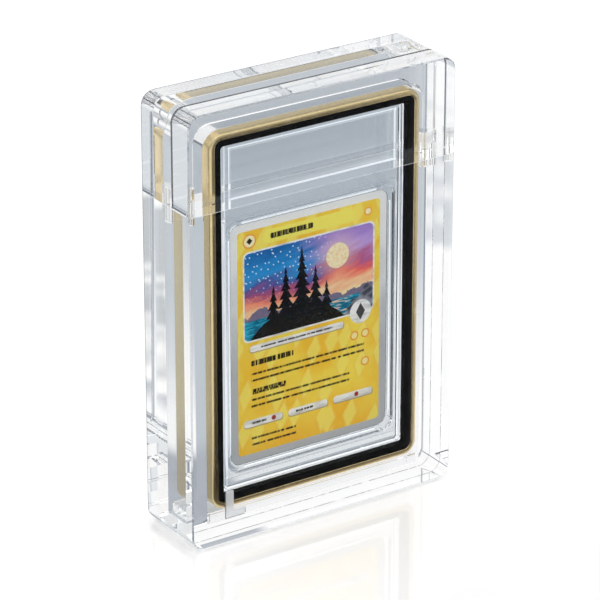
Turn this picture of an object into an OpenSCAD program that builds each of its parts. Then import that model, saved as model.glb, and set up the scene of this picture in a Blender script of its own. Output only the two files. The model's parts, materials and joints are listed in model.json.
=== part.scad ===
// A clear display block for one graded trading card.
// A lower body and a lift-off lid, each built from three clear plates, close
// around a metal bumper that holds a sealed two-shell slab with the card inside.
// X runs to the right, Y runs from the front to the back, Z runs up.
// The origin is the middle of the base, and all sizes are in millimetres.

/* [Card] */
// Width of the card
card_w = 63; // [56:0.5:70]
// Height of the card
card_h = 88; // [80:0.5:96]
// Thickness of the card
card_t = 0.35; // [0.3:0.05:0.6]
// Radius of the card's corners
card_r = 3; // [1.5:0.5:4]

/* [Slab] */
// Clear plastic from the card's side to the slab's side
slab_side = 5.6; // [4.6:0.1:7]
// Clear plastic from the card's lower edge to the slab's lower edge
slab_bottom = 7.8; // [6:0.1:12]
// Clear plastic from the card's upper edge to the slab's upper edge
slab_top = 31.1; // [27:0.1:38]
// Thickness of the slab's front shell
shell_t = 3; // [2.6:0.1:4]
// Thickness of the slab's rear shell
rear_shell_t = 4.4; // [2.6:0.1:5]
// Radius of the slab's corners
slab_r = 1; // [0.6:0.1:2]
// Plastic left in each shell where the card holder sits
shell_skin = 1.3; // [1:0.1:1.6]
// Width of the clear holder around the card
holder_w = 3.2; // [2.2:0.1:4]
// Play between the card and the holder on each side
card_play = 0.2; // [0.1:0.05:0.4]
// Overlap of the raised pads over each edge of the card
pad_overlap = 0.6; // [0.4:0.1:1.2]
// Width of the recess for a label
label_w = 65.4; // [40:0.2:66]
// Height of the recess for a label
label_h = 17.3; // [10:0.1:20]
// Distance from the slab's upper edge to the label recess
label_drop = 2.2; // [1.2:0.1:4]
// Depth of the label recess
label_depth = 0.6; // [0.3:0.1:1]

/* [Bumper] */
// Thickness of the metal frame's side wall
frame_wall = 1.2; // [1:0.1:2]
// Width of the metal frame's front lip
frame_lip = 2.2; // [2.1:0.1:3.5]
// Thickness of the front lip, from front to back
frame_lip_t = 1.2; // [0.8:0.1:1.6]
// Radius of the metal frame's outer corners
frame_r = 5; // [4.4:0.1:6]
// Space for rubber between the slab and the metal frame's side wall
rubber_wall = 3.6; // [3:0.1:5]
// Step of the rubber's face back from the metal lip
rubber_step = 0.4; // [0.2:0.1:0.6]
// Thickness of the rear rubber ring
cushion_t = 0.6; // [0.4:0.1:1.2]
// Width of the rear rubber ring
cushion_w = 2.6; // [2:0.1:3.2]

/* [Pocket] */
// Free space at each side of the bumper
side_clear = 1.8; // [1.4:0.1:4]
// Free space above the bumper
top_clear = 2; // [1:0.1:5]
// Free space between the bumper and the front panel
front_clear = 0.6; // [0.6:0.1:1.5]
// Free space between the rear rubber ring and the back panel
rear_clear = 0.9; // [0.2:0.1:1.6]
// How far the bumper stands to the right of the middle
bumper_shift = 1; // [-1:0.1:1]
// Radius of the pocket's upper corners
pocket_r = 6.5; // [5.5:0.1:7]
// Height of the clear bar that the bumper stands on
bar_h = 3.9; // [3:0.1:8]
// Gap between each end of the bar and the pocket wall
bar_end_gap = 1; // [0.5:0.1:3]

/* [Case] */
// Thickness of the clear walls beside the pocket
side_wall = 9.3; // [8.6:0.1:16]
// Thickness of the clear wall above the pocket
top_wall = 9.1; // [6:0.1:16]
// Thickness of the clear wall below the pocket
floor_wall = 5.5; // [4:0.1:12]
// Thickness of the front panels
front_t = 10; // [5:0.5:14]
// Thickness of the back panels
back_t = 8; // [5:0.5:14]
// Radius of the block's four outer corners
corner_r = 5; // [3:0.5:8]
// Height of the lid
lid_h = 35; // [28:0.5:60]

/* [Magnets and clip] */
// Diameter of each magnet
magnet_d = 6; // [4:0.5:6]
// Length of each magnet
magnet_l = 6; // [3:0.5:10]
// Play around each magnet in its bore
magnet_play = 0.1; // [0.05:0.05:0.2]
// Setback of each magnet from the seam
magnet_setback = 0.1; // [0.05:0.05:0.3]
// Thickness of the clear clip
clip_t = 0.4; // [0.3:0.05:0.4]
// Width of the clip's upright leg
clip_leg_w = 3.5; // [2:0.1:5]
// Height of the clip's upright leg
clip_leg_h = 10.4; // [8:0.1:14]
// Length of the clip's foot
clip_foot_w = 8.3; // [6:0.1:14]
// Height of the clip's foot
clip_foot_h = 2.8; // [1.5:0.1:3]
// Distance from the pocket's left wall to the clip
clip_inset = 7.3; // [4:0.1:30]

/* [Hidden] */

$fn = 96;

// A hair of extra length where one shape cuts through another
cut = 1;
// Play between the rubber and the parts beside it
rubber_fit = 0.05;

// Colours
clear_colour = [0.86, 0.91, 0.95, 0.35];
slab_colour = [0.80, 0.86, 0.92, 0.45];
gold_colour = [0.80, 0.66, 0.40];
rubber_colour = [0.05, 0.05, 0.05];
magnet_colour = [0.78, 0.79, 0.80];
card_colour = [0.93, 0.75, 0.25];

// Outline of the slab and of the bumper round it
slab_w = card_w + 2 * slab_side;
slab_h = slab_bottom + card_h + slab_top;
slab_t = shell_t + rear_shell_t;
rubber_out_w = slab_w + 2 * rubber_wall;
rubber_out_h = slab_h + 2 * rubber_wall;
rubber_out_r = frame_r - frame_wall;
bumper_w = rubber_out_w + 2 * frame_wall;
bumper_h = rubber_out_h + 2 * frame_wall;
bumper_border = rubber_wall + frame_wall;
window_w = slab_w + 2 * rubber_fit;
window_h = slab_h + 2 * rubber_fit;
window_r = slab_r + rubber_fit;
frame_open_r = max(frame_r - frame_lip, 1);

// Depth of the bumper, then of the middle plates that make the pocket
slab_setback = frame_lip_t + 0.8;
frame_d = slab_setback + slab_t;
core_t = front_clear + frame_d + cushion_t + rear_clear;

// Outside of the block
pocket_w = bumper_w + 2 * side_clear;
case_w = pocket_w + 2 * side_wall;
bumper_z = floor_wall + bar_h;
pocket_top = bumper_z + bumper_h + top_clear;
case_h = pocket_top + top_wall;
case_d = front_t + core_t + back_t;
seam_z = case_h - lid_h;

// Planes from front to back
front_y = -case_d / 2;
core_y = front_y + front_t;
back_y = core_y + core_t;
bumper_y = core_y + front_clear;
slab_y = bumper_y + slab_setback;
shell_joint_y = slab_y + shell_t;
cushion_y = slab_y + slab_t;

// Places inside the slab
slab_z = bumper_z + bumper_border;
card_z = slab_z + slab_bottom;
holder_open_w = card_w + 2 * card_play;
holder_open_h = card_h + 2 * card_play;
holder_out_w = holder_open_w + 2 * holder_w;
holder_out_h = holder_open_h + 2 * holder_w;
holder_half_t = shell_t - shell_skin;
pad_w = card_w - 2 * pad_overlap;
pad_h = card_h - 2 * pad_overlap;
card_mid_z = card_z + card_h / 2;

// Places of the magnets
magnet_x = pocket_w / 2 + side_wall / 2;
magnet_y = core_y + core_t / 2;
bore_d = magnet_d + 2 * magnet_play;
bore_l = magnet_l + magnet_setback;

// A rectangle with round corners, centred on x = 0 and standing on y = 0
module round_rect(w, h, r) {
    translate([-w / 2, r]) square([w, h - 2 * r]);
    translate([-w / 2 + r, 0]) square([w - 2 * r, h]);
    for (x = [-w / 2 + r, w / 2 - r], y = [r, h - r]) {
        translate([x, y]) circle(r = r);
    }
}

// A flat outline stood upright, its front face at y and its depth running back
module upright(y, depth) {
    translate([0, y + depth, 0])
        rotate([90, 0, 0])
            linear_extrude(height = depth) children();
}

// A closed ring between two round rectangles with the same middle
module ring_2d(out_w, out_h, out_r, in_w, in_h, in_r) {
    difference() {
        round_rect(out_w, out_h, out_r);
        translate([0, (out_h - in_h) / 2]) round_rect(in_w, in_h, in_r);
    }
}

// The whole block's front outline, cut to the body or to the lid
module block_2d(from_z, to_z) {
    intersection() {
        round_rect(case_w, case_h, corner_r);
        translate([-case_w / 2 - cut, from_z]) square([case_w + 2 * cut, to_z - from_z]);
    }
}

// The pocket's front outline: square below, round at the upper corners
module pocket_2d() {
    intersection() {
        translate([0, floor_wall - pocket_r]) round_rect(pocket_w, pocket_top - floor_wall + pocket_r, pocket_r);
        translate([-pocket_w / 2, floor_wall]) square([pocket_w, pocket_top - floor_wall]);
    }
}

module body_plate(y, depth) {
    upright(y, depth) block_2d(0, seam_z);
}

module lid_plate(y, depth) {
    upright(y, depth) block_2d(seam_z, case_h);
}

// One magnet with its lower end at z
module magnet(x, z) {
    color(magnet_colour) translate([x, magnet_y, z]) cylinder(h = magnet_l, d = magnet_d);
}

module body_front_panel() {
    color(clear_colour) body_plate(front_y, front_t);
}

module body_back_panel() {
    color(clear_colour) body_plate(back_y, back_t);
}

module body_core_frame() {
    color(clear_colour) difference() {
        upright(core_y, core_t) difference() {
            block_2d(0, seam_z);
            pocket_2d();
        }
        for (side = [-1, 1]) {
            translate([side * magnet_x, magnet_y, seam_z - bore_l]) cylinder(h = bore_l + cut, d = bore_d);
        }
    }
}

// The clear bar on the pocket floor; the clip is bonded to its front face
module base_bar() {
    color(clear_colour) translate([-pocket_w / 2 + bar_end_gap, core_y + clip_t, floor_wall])
        cube([pocket_w - 2 * bar_end_gap, core_t - clip_t - rear_clear, bar_h]);
}

// The clear L-shaped clip that stands between the front panel and the bumper
module retaining_clip() {
    color(clear_colour) translate([-pocket_w / 2 + clip_inset, 0, floor_wall])
        upright(core_y, clip_t) {
            square([clip_leg_w, clip_leg_h]);
            square([clip_foot_w, clip_foot_h]);
        }
}

module body_magnet_left() {
    magnet(-magnet_x, seam_z - bore_l);
}

module body_magnet_right() {
    magnet(magnet_x, seam_z - bore_l);
}

module lid_front_panel() {
    color(clear_colour) lid_plate(front_y, front_t);
}

module lid_back_panel() {
    color(clear_colour) lid_plate(back_y, back_t);
}

module lid_core_frame() {
    color(clear_colour) difference() {
        upright(core_y, core_t) difference() {
            block_2d(seam_z, case_h);
            pocket_2d();
        }
        for (side = [-1, 1]) {
            translate([side * magnet_x, magnet_y, seam_z - cut]) cylinder(h = bore_l + cut, d = bore_d);
        }
    }
}

module lid_magnet_left() {
    magnet(-magnet_x, seam_z + magnet_setback);
}

module lid_magnet_right() {
    magnet(magnet_x, seam_z + magnet_setback);
}

// The metal frame: a side wall all round and a lip turned in at the front
module bumper_frame() {
    color(gold_colour) translate([bumper_shift, 0, bumper_z]) {
        upright(bumper_y, frame_lip_t)
            ring_2d(bumper_w, bumper_h, frame_r, bumper_w - 2 * frame_lip, bumper_h - 2 * frame_lip, frame_open_r);
        upright(bumper_y + frame_lip_t, frame_d - frame_lip_t)
            ring_2d(bumper_w, bumper_h, frame_r, rubber_out_w, rubber_out_h, rubber_out_r);
    }
}

// The rubber between the metal and the slab, with a face inside the metal lip
module front_gasket() {
    face_w = bumper_w - 2 * frame_lip - 2 * rubber_fit;
    face_h = bumper_h - 2 * frame_lip - 2 * rubber_fit;
    wall_w = rubber_out_w - 2 * rubber_fit;
    wall_h = rubber_out_h - 2 * rubber_fit;
    color(rubber_colour) translate([bumper_shift, 0, bumper_z]) {
        translate([0, 0, frame_lip + rubber_fit]) upright(bumper_y + rubber_step, slab_setback - rubber_step)
            ring_2d(face_w, face_h, frame_open_r, window_w, window_h, window_r);
        translate([0, 0, frame_wall + rubber_fit])
            upright(bumper_y + frame_lip_t, slab_setback - frame_lip_t + slab_t)
                ring_2d(wall_w, wall_h, rubber_out_r, window_w, window_h, window_r);
    }
}

// The thin rubber ring on the gasket's rear face
module rear_cushion() {
    out_w = rubber_out_w - 2 * rubber_fit;
    out_h = rubber_out_h - 2 * rubber_fit;
    color(rubber_colour) translate([bumper_shift, 0, bumper_z + frame_wall + rubber_fit])
        upright(cushion_y, cushion_t)
            ring_2d(out_w, out_h, rubber_out_r, out_w - 2 * cushion_w, out_h - 2 * cushion_w, window_r);
}

// One shell's room for the card holder, with the pad left standing in it
module holder_room_2d() {
    difference() {
        translate([0, card_mid_z - holder_out_h / 2]) square_centred(holder_out_w, holder_out_h);
        translate([0, card_mid_z - pad_h / 2]) round_rect(pad_w, pad_h, card_r);
    }
}

module square_centred(w, h) {
    translate([-w / 2, 0]) square([w, h]);
}

module slab_outline() {
    translate([0, slab_z]) round_rect(slab_w, slab_h, slab_r);
}

module slab_front_shell() {
    label_z = slab_z + slab_h - label_drop - label_h;
    recess_w = min(label_w, slab_w - 3);
    color(slab_colour) translate([bumper_shift, 0, 0]) difference() {
        upright(slab_y, shell_t) slab_outline();
        upright(shell_joint_y - holder_half_t, holder_half_t + cut) holder_room_2d();
        upright(shell_joint_y - card_t / 2, card_t + cut)
            translate([0, card_mid_z - holder_out_h / 2]) square_centred(holder_out_w, holder_out_h);
        upright(slab_y - cut, label_depth + cut) translate([0, label_z]) square_centred(recess_w, label_h);
    }
}

module slab_rear_shell() {
    color(slab_colour) translate([bumper_shift, 0, 0]) difference() {
        upright(shell_joint_y, rear_shell_t) slab_outline();
        upright(shell_joint_y - cut, holder_half_t + cut) holder_room_2d();
        upright(shell_joint_y - cut, card_t / 2 + cut)
            translate([0, card_mid_z - holder_out_h / 2]) square_centred(holder_out_w, holder_out_h);
    }
}

// The clear frame that keeps the card in the middle of the slab
module card_holder() {
    color(slab_colour) translate([bumper_shift, 0, 0]) upright(shell_joint_y - holder_half_t, 2 * holder_half_t)
        difference() {
            translate([0, card_mid_z - holder_out_h / 2]) square_centred(holder_out_w, holder_out_h);
            translate([0, card_mid_z - holder_open_h / 2]) round_rect(holder_open_w, holder_open_h, card_r + card_play);
        }
}

module card() {
    color(card_colour) translate([bumper_shift, 0, card_z])
        upright(shell_joint_y - card_t / 2, card_t) round_rect(card_w, card_h, card_r);
}

body_front_panel();
body_core_frame();
body_back_panel();
base_bar();
retaining_clip();
body_magnet_left();
body_magnet_right();
lid_front_panel();
lid_core_frame();
lid_back_panel();
lid_magnet_left();
lid_magnet_right();
bumper_frame();
front_gasket();
rear_cushion();
slab_front_shell();
slab_rear_shell();
card_holder();
card();
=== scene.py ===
import json
import math
from functools import reduce

import bmesh
import bpy
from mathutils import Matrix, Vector

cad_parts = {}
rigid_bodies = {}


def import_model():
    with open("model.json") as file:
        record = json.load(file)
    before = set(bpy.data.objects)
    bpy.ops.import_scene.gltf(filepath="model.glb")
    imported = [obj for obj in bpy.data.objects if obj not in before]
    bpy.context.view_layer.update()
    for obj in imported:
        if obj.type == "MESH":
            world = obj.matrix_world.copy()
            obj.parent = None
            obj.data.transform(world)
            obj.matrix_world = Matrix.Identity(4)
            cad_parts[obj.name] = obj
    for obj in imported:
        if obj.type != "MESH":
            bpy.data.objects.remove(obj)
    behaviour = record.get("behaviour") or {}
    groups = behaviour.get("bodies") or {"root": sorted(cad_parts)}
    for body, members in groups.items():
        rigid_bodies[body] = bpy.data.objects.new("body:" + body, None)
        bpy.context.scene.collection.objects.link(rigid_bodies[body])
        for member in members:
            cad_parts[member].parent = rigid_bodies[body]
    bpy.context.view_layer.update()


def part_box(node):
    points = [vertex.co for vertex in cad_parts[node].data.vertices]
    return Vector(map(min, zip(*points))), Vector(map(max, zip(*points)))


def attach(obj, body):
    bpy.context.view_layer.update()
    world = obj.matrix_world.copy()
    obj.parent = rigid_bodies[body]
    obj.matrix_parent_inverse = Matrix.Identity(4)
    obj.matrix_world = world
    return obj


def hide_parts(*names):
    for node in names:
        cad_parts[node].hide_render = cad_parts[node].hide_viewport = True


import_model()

MM = 0.001


def corners(node):
    """A node's lowest and highest corners, in millimetres."""
    return (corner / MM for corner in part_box(node))


# The block in millimetres: half its width, its top, and where its plates and its seam meet
front_low, front_high = corners("body_front_panel")
core_low, core_high = corners("body_core_frame")
lid_back_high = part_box("lid_back_panel")[1] / MM
HALF_W = lid_back_high.x
TOP = lid_back_high.z
FRONT = front_low.y
CORE = core_low.y
REAR = core_high.y
BACK = lid_back_high.y
SEAM = front_high.z
# The round of the block's corners, and the bevel along a plate's outer edges
CORNER = 5
EDGE = 0.45
# The thin air between the lid's plates, and over and under the seam
PLATE_AIR = 0.06
SEAM_AIR = 0.05
# The bevels of the lid's middle plate in front and behind, and the grooves between the body's plates
JOINT_EDGE = 0.5
REAR_JOINT_EDGE = 0.25
GROOVE = 0.08

# The pocket: half its width, its floor and top, the round of its upper corners and its mouth's bevel
bar_low, bar_high = corners("base_bar")
POCKET = 43.7
FLOOR = bar_low.z
POCKET_TOP = 147.9
POCKET_R = 6.5
MOUTH_BEVEL = 0.4

# The clip's leg and foot
clip_low, clip_high = corners("retaining_clip")
LEG_W = 3.5
FOOT_H = 2.8

# The magnets stand in the middle plates, MAGNET_GAP from the seam, each in a bore a little wider and deeper
magnet_low, magnet_high = corners("body_magnet_right")
MAGNET_D = 6.0
MAGNET_L = magnet_high.z - magnet_low.z
MAGNET_X = magnet_high.x - MAGNET_D / 2
MAGNET_Y = (CORE + REAR) / 2
MAGNET_GAP = SEAM - magnet_high.z
BORE_D = MAGNET_D + 0.2
BORE_L = MAGNET_L + 0.3

# The bumper: its middle, its corners' round, the width of its lip and the thickness of its walls
bumper_low, bumper_high = corners("bumper_frame")
BUMPER_W = bumper_high.x - bumper_low.x
BUMPER_H = bumper_high.z - bumper_low.z
MID = (bumper_low.x + bumper_high.x) / 2
BUMPER_MID = (bumper_low.z + bumper_high.z) / 2
FRAME_R = 5.0
LIP = 2.2
RIM = 1.2

# The rubber, and the play that it leaves to the metal and the slab
gasket_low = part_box("front_gasket")[0] / MM
cushion_low, cushion_high = corners("rear_cushion")
CUSHION_W = 2.6
RUBBER_PLAY = 0.05

# The slab, and the window that the rubber leaves for it
slab_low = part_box("slab_front_shell")[0] / MM
slab_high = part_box("slab_rear_shell")[1] / MM
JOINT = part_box("slab_rear_shell")[0].y / MM
SLAB_W = slab_high.x - slab_low.x
SLAB_H = slab_high.z - slab_low.z
WINDOW_W = SLAB_W + 2 * RUBBER_PLAY
WINDOW_H = SLAB_H + 2 * RUBBER_PLAY
# The label recess, and the rib on each side
LABEL_W = 65.4
LABEL_H = 17.3
LABEL_DROP = 2.2
LABEL_DEPTH = 0.6
RIB_INSET = 2.1
RIB_HALF = 0.45
# The weld between the shells: its bevels, and the air that is left
WELD = 0.25
WELD_BEVEL = 0.2
WELD_AIR = 0.015

# The card, and the room for it and its holder
card_low, card_high = corners("card")
room_low, room_high = corners("card_holder")
CARD_W = card_high.x - card_low.x
CARD_H = card_high.z - card_low.z
CARD_MID = (card_low.z + card_high.z) / 2
CARD_DEEP = (card_low.y + card_high.y) / 2
ROOM_W = room_high.x - room_low.x
ROOM_H = room_high.z - room_low.z
ROOM_HALF = (room_high.y - room_low.y) / 2
# The play round the card and round its holder, and the holder's half depth
CARD_PLAY = 0.4
HOLDER_PLAY = 0.05
HOLDER_HALF = ROOM_HALF - 0.04
# The ledge round the card, how far out and where, and the rails on it
LEDGE = 2.3
LEDGE_Y = card_low.y - 0.1
RAIL_R = 0.5
RAIL_OUT = 1.0
RAIL_SHORT = 4.5

# How far a cutter runs out past what it cuts, and a mask past an edge
CLEAR_OUT = 3.0
HAIR = 0.02
# Corners nearer than this, in metres, are one, and edges past this angle look sharp
MERGE = 1e-7
SHARP = 28


# Shader maths
class Value:
    """A number in a node tree, for expressions that add Math nodes."""

    def __init__(self, nodes, socket):
        self.nodes = nodes
        self.socket = socket

    def math(self, operation, *others):
        return self.nodes.math(operation, self, *others)

    def __add__(self, other):
        return self.math("ADD", other)

    __radd__ = __add__

    def __sub__(self, other):
        return self.math("SUBTRACT", other)

    def __rsub__(self, other):
        return self.nodes.math("SUBTRACT", other, self)

    def __mul__(self, other):
        return self.math("MULTIPLY", other)

    __rmul__ = __mul__

    def __truediv__(self, other):
        return self.math("DIVIDE", other)

    def __rtruediv__(self, other):
        return self.nodes.math("DIVIDE", other, self)

    def __neg__(self):
        return self.math("MULTIPLY", -1)

    def __abs__(self):
        return self.math("ABSOLUTE")

    def __lt__(self, other):
        return self.math("LESS_THAN", other)

    def __gt__(self, other):
        return self.math("GREATER_THAN", other)

    def least(self, other):
        return self.math("MINIMUM", other)

    def most(self, other):
        return self.math("MAXIMUM", other)

    def ramp(self, low, high):
        """0 at low, 1 at high, and smooth between, also where low is the higher number."""
        settings = {"interpolation_type": "SMOOTHSTEP"}
        sockets = {"Value": self, "From Min": low, "From Max": high}
        return self.nodes.node("ShaderNodeMapRange", settings, sockets)[0]

    def stripe(self, half, soft):
        """1 along a line where the value is 0, out to half, then fading within soft."""
        return abs(self).ramp(half + soft, half)


class Outputs:
    """A node's outputs, as values for expressions or as sockets for links."""

    def __init__(self, nodes, made):
        self.nodes = nodes
        self.made = made

    def __getitem__(self, key):
        return Value(self.nodes, self.made.outputs[key])

    def link(self, key=0):
        return self.made.outputs[key]


class Nodes:
    """A node tree, with one method that adds any node."""

    def __init__(self, tree):
        self.tree = tree

    def node(self, kind, settings=None, sockets=None):
        """Adds a node. Its settings are set first, then its sockets are given values or links."""
        made = self.tree.nodes.new(kind)
        for key, value in (settings or {}).items():
            if key == "stops":
                self.set_stops(made.color_ramp, value)
            else:
                setattr(made, key, value)
        for key, value in (sockets or {}).items():
            socket = made.inputs[key]
            if isinstance(value, Value):
                value = value.socket
            if isinstance(value, bpy.types.NodeSocket):
                self.tree.links.new(value, socket)
            elif socket.type == "RGBA":
                socket.default_value = (*value, 1)
            else:
                socket.default_value = value
        return Outputs(self, made)

    def set_stops(self, ramp, stops):
        while len(ramp.elements) < len(stops):
            ramp.elements.new(1)
        for element, (place, colour) in zip(ramp.elements, stops):
            element.position = place
            element.color = (*colour, 1)

    def math(self, operation, *values):
        return self.node("ShaderNodeMath", {"operation": operation}, dict(enumerate(values)))[0]

    def vector(self, x=0.0, y=0.0, z=0.0):
        return self.node("ShaderNodeCombineXYZ", {}, {0: x, 1: y, 2: z}).link()


class Shade(Nodes):
    """The nodes of a material or of the world."""

    def __init__(self, owner):
        owner.use_nodes = True
        super().__init__(owner.node_tree)
        self.tree.nodes.clear()

    def mix(self, base, colour, mask):
        """base with colour laid over it where mask is 1."""
        sockets = {0: mask, 6: base, 7: colour}
        return self.node("ShaderNodeMix", {"data_type": "RGBA"}, sockets).link(2)

    def coords(self):
        """Object coordinates, in metres."""
        return self.node("ShaderNodeTexCoord").link("Object")

    def place(self):
        """Object coordinates in millimetres, as three numbers."""
        split = self.node("ShaderNodeSeparateXYZ", {}, {0: self.coords()})
        return split[0] / MM, split[1] / MM, split[2] / MM

    def noise(self, coords, scale, detail=2.0, rough=0.5):
        sockets = {"Vector": coords, "Scale": scale, "Detail": detail, "Roughness": rough}
        return self.node("ShaderNodeTexNoise", {}, sockets)[0]

    def blend(self, below, above, mask):
        """The shader above where mask is 1, and below where it is 0."""
        return self.node("ShaderNodeMixShader", {}, {0: mask, 1: below, 2: above}).link()

    def emission(self, colour, strength=1.0):
        return self.node("ShaderNodeEmission", {}, {"Color": colour, "Strength": strength}).link()

    def end(self, surface):
        self.node("ShaderNodeOutputMaterial", {}, {"Surface": surface})


class Finish(Shade):
    """A piece's material: a Principled shader with its constants on the shader's own sockets."""

    def __init__(self, name, **constants):
        self.material = bpy.data.materials.new(name)
        super().__init__(self.material)
        sockets = {key.replace("_", " "): value for key, value in constants.items()}
        self.surface = self.node("ShaderNodeBsdfPrincipled", {}, sockets)
        self.end(self.surface.link())

    def feed(self, name, value):
        socket = value.socket if isinstance(value, Value) else value
        self.tree.links.new(socket, self.surface.made.inputs[name])

    def bump(self, height, strength, distance):
        sockets = {"Strength": strength, "Distance": distance, "Height": height}
        self.feed("Normal", self.node("ShaderNodeBump", {}, sockets).link())


# Materials
def make_acrylic():
    """Clear cast sheet, polished and a little uneven, with painted dark reflections and a painted contact
    shadow along its edges, and a dark joint in the lid.
    """
    finish = Finish("clear_acrylic", Transmission_Weight=1.0, IOR=1.49)
    x, y, z = finish.place()
    cloud = finish.noise(finish.coords(), 28.0)
    tint = Vector((0.99, 0.994, 0.996))
    sheet = finish.mix(tint, tint * 0.985, cloud)
    across = (abs(x) - HALF_W + CORNER).most(0)

    # Painted dark reflections: the rounded edges are darker than the sheet along the back, and a little along
    # the front
    fold = (abs(z - TOP / 2) - TOP / 2 + CORNER).most(0)
    outer = (across * across + fold * fold).math("SQRT") > CORNER - EDGE - HAIR
    front_edge, back_band = y < FRONT + EDGE + HAIR, y > BACK - EDGE - 0.4
    sheet = finish.mix(sheet, (0.22, 0.24, 0.27), outer * back_band)
    sheet = finish.mix(sheet, (0.45, 0.48, 0.52), outer * front_edge)
    # Painted contact shadow: the front edge along the foot is darker still
    sheet = finish.mix(sheet, (0.2, 0.22, 0.25), (z < EDGE) * front_edge)

    # Painted reflections: thin dark bands on the round corners that run from front to back
    turn = across / (fold + 0.01) * outer * (fold > 0.3)
    painted_reflection_bands = abs(turn - 0.42).ramp(0.07, 0.03)
    painted_reflection_bands = painted_reflection_bands.most(abs(turn - 1.5).ramp(0.22, 0.1))
    painted_reflection_bands = painted_reflection_bands.most(abs(turn - 2.6).ramp(0.3, 0.2))
    sheet = finish.mix(sheet, (0.1, 0.11, 0.13), painted_reflection_bands * (y < CORE).most(y > REAR))

    # The bevel of the lid's middle plate, where it meets the front one
    up = (z - TOP + CORNER).most(0)
    rim = (across * across + up * up).math("SQRT") > CORNER - JOINT_EDGE - HAIR
    bevel_low = CORE + PLATE_AIR / 2
    bevel_high = CORE + PLATE_AIR + JOINT_EDGE - 0.01
    joint = rim * (z > SEAM + 0.3) * (y > bevel_low) * (y < bevel_high)
    finish.feed("Base Color", finish.mix(sheet, (0.03, 0.032, 0.036), joint))
    finish.feed("Roughness", cloud.ramp(0.5, 0.9) * 0.01)
    return finish.material


def make_clip():
    """Thin milky clear sheet with darker cut edges along its left side, underside and toe."""
    finish = Finish("clip_acrylic", Transmission_Weight=0.45, IOR=1.49)
    x, _, z = finish.place()
    cloud = finish.noise(finish.coords(), 28.0)
    cut_w = 0.3
    cut = (x < clip_low.x + cut_w + HAIR).most(z < clip_low.z + cut_w + HAIR)
    cut = cut.most(x > clip_high.x - cut_w)
    sheet = finish.mix((0.95, 0.96, 0.975), (0.93, 0.945, 0.965), cloud)
    finish.feed("Base Color", finish.mix(sheet, (0.3, 0.32, 0.36), cut))
    finish.feed("Roughness", cloud * 0.15 + 0.05)
    return finish.material


def make_slab_plastic():
    """Clear moulded plastic. Painted highlights glow in lines along the moulded corners and the rails."""
    finish = Finish("slab_plastic", Transmission_Weight=1.0, IOR=1.5, Emission_Strength=1.0)
    x, y, z = finish.place()
    cloud = finish.noise(finish.coords(), 40.0)
    finish.feed("Base Color", finish.mix((0.975, 0.985, 0.995), (0.955, 0.975, 0.99), cloud))

    # Painted highlights that glow on the front: lines round the label recess, along both ribs and the rim,
    # and at the foot
    half, soft, front_skin, chamfer = 0.2, 0.15, 0.45, 0.4
    near = chamfer + 0.5
    side = abs(x - MID)
    rise = abs(z - slab_high.z + LABEL_DROP + LABEL_H / 2)
    within = (side < LABEL_W / 2 + near) * (rise < LABEL_H / 2 + near)
    recess = (side - LABEL_W / 2 - chamfer).stripe(half, soft)
    recess = recess.most((rise - LABEL_H / 2 - chamfer).stripe(half, soft)) * within
    ribs = (side - SLAB_W / 2 + RIB_INSET).stripe(half, soft) * 0.6
    rim = (side - SLAB_W / 2 + 0.7).stripe(half, soft) * 0.8
    foot = (z - slab_low.z).ramp(2.4, 2.1) * 0.7
    painted_glow = recess.most(ribs).most(rim).most(foot) * (y < slab_low.y + front_skin)

    # Painted highlights glow along the crowns of the four rails round the card
    drop = abs(z - CARD_MID)
    level = (drop - CARD_H / 2 - RAIL_OUT).stripe(0.2, 0.2) * (side < CARD_W / 2 - RAIL_SHORT)
    upright = (side - CARD_W / 2 - RAIL_OUT).stripe(0.2, 0.2) * (drop < CARD_H / 2 - RAIL_SHORT)
    rails = level.most(upright) * (abs(y - LEDGE_Y) < RAIL_R + 0.1)
    finish.feed("Emission Color", finish.mix((0, 0, 0), (0.42, 0.43, 0.44), painted_glow.most(rails)))
    finish.feed("Roughness", cloud.ramp(0.55, 0.9) * 0.01)
    return finish.material


def make_gold():
    """Satin gold anodised metal, with the fine lines of the cutter along the frame."""
    finish = Finish("gold_metal", Metallic=1.0)
    coords = finish.coords()
    stretched = finish.node("ShaderNodeMapping", {}, {"Vector": coords, "Scale": (300, 4000, 300)})
    grain = finish.noise(stretched.link(), 1.0, 4.0)
    cloud = finish.noise(coords, 60.0)
    tone = finish.mix((0.80, 0.64, 0.36), (0.74, 0.58, 0.31), cloud)
    finish.feed("Base Color", finish.mix(tone, (0.86, 0.71, 0.43), grain.ramp(0.5, 0.8)))
    finish.feed("Roughness", grain * 0.08 + 0.2)
    finish.bump(grain, 0.08, 0.00005)
    return finish.material


def make_rubber():
    """Matt black rubber with fine pores."""
    finish = Finish("black_rubber", IOR=1.45, Specular_IOR_Level=0.08)
    coords = finish.coords()
    pores = finish.noise(coords, 900.0, 3.0)
    cloud = finish.noise(coords, 120.0)
    finish.feed("Base Color", finish.mix((0.0015, 0.0017, 0.002), (0.004, 0.004, 0.0045), cloud))
    finish.feed("Roughness", pores * 0.18 + 0.55)
    finish.bump(pores, 0.1, 0.00003)
    return finish.material


def make_nickel():
    """Bright plating with a light haze."""
    finish = Finish("magnet_nickel", Metallic=0.45)
    haze = finish.noise(finish.coords(), 500.0, 4.0)
    finish.feed("Base Color", finish.mix((0.96, 0.96, 0.955), (0.88, 0.88, 0.87), haze))
    finish.feed("Roughness", haze * 0.16 + 0.10)
    return finish.material


# The card's print, in millimetres across and down from its upper left corner
PICTURE = (5.5, 11.0, 57.5, 43.0)
MOON = (43.0, 20.0)
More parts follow.
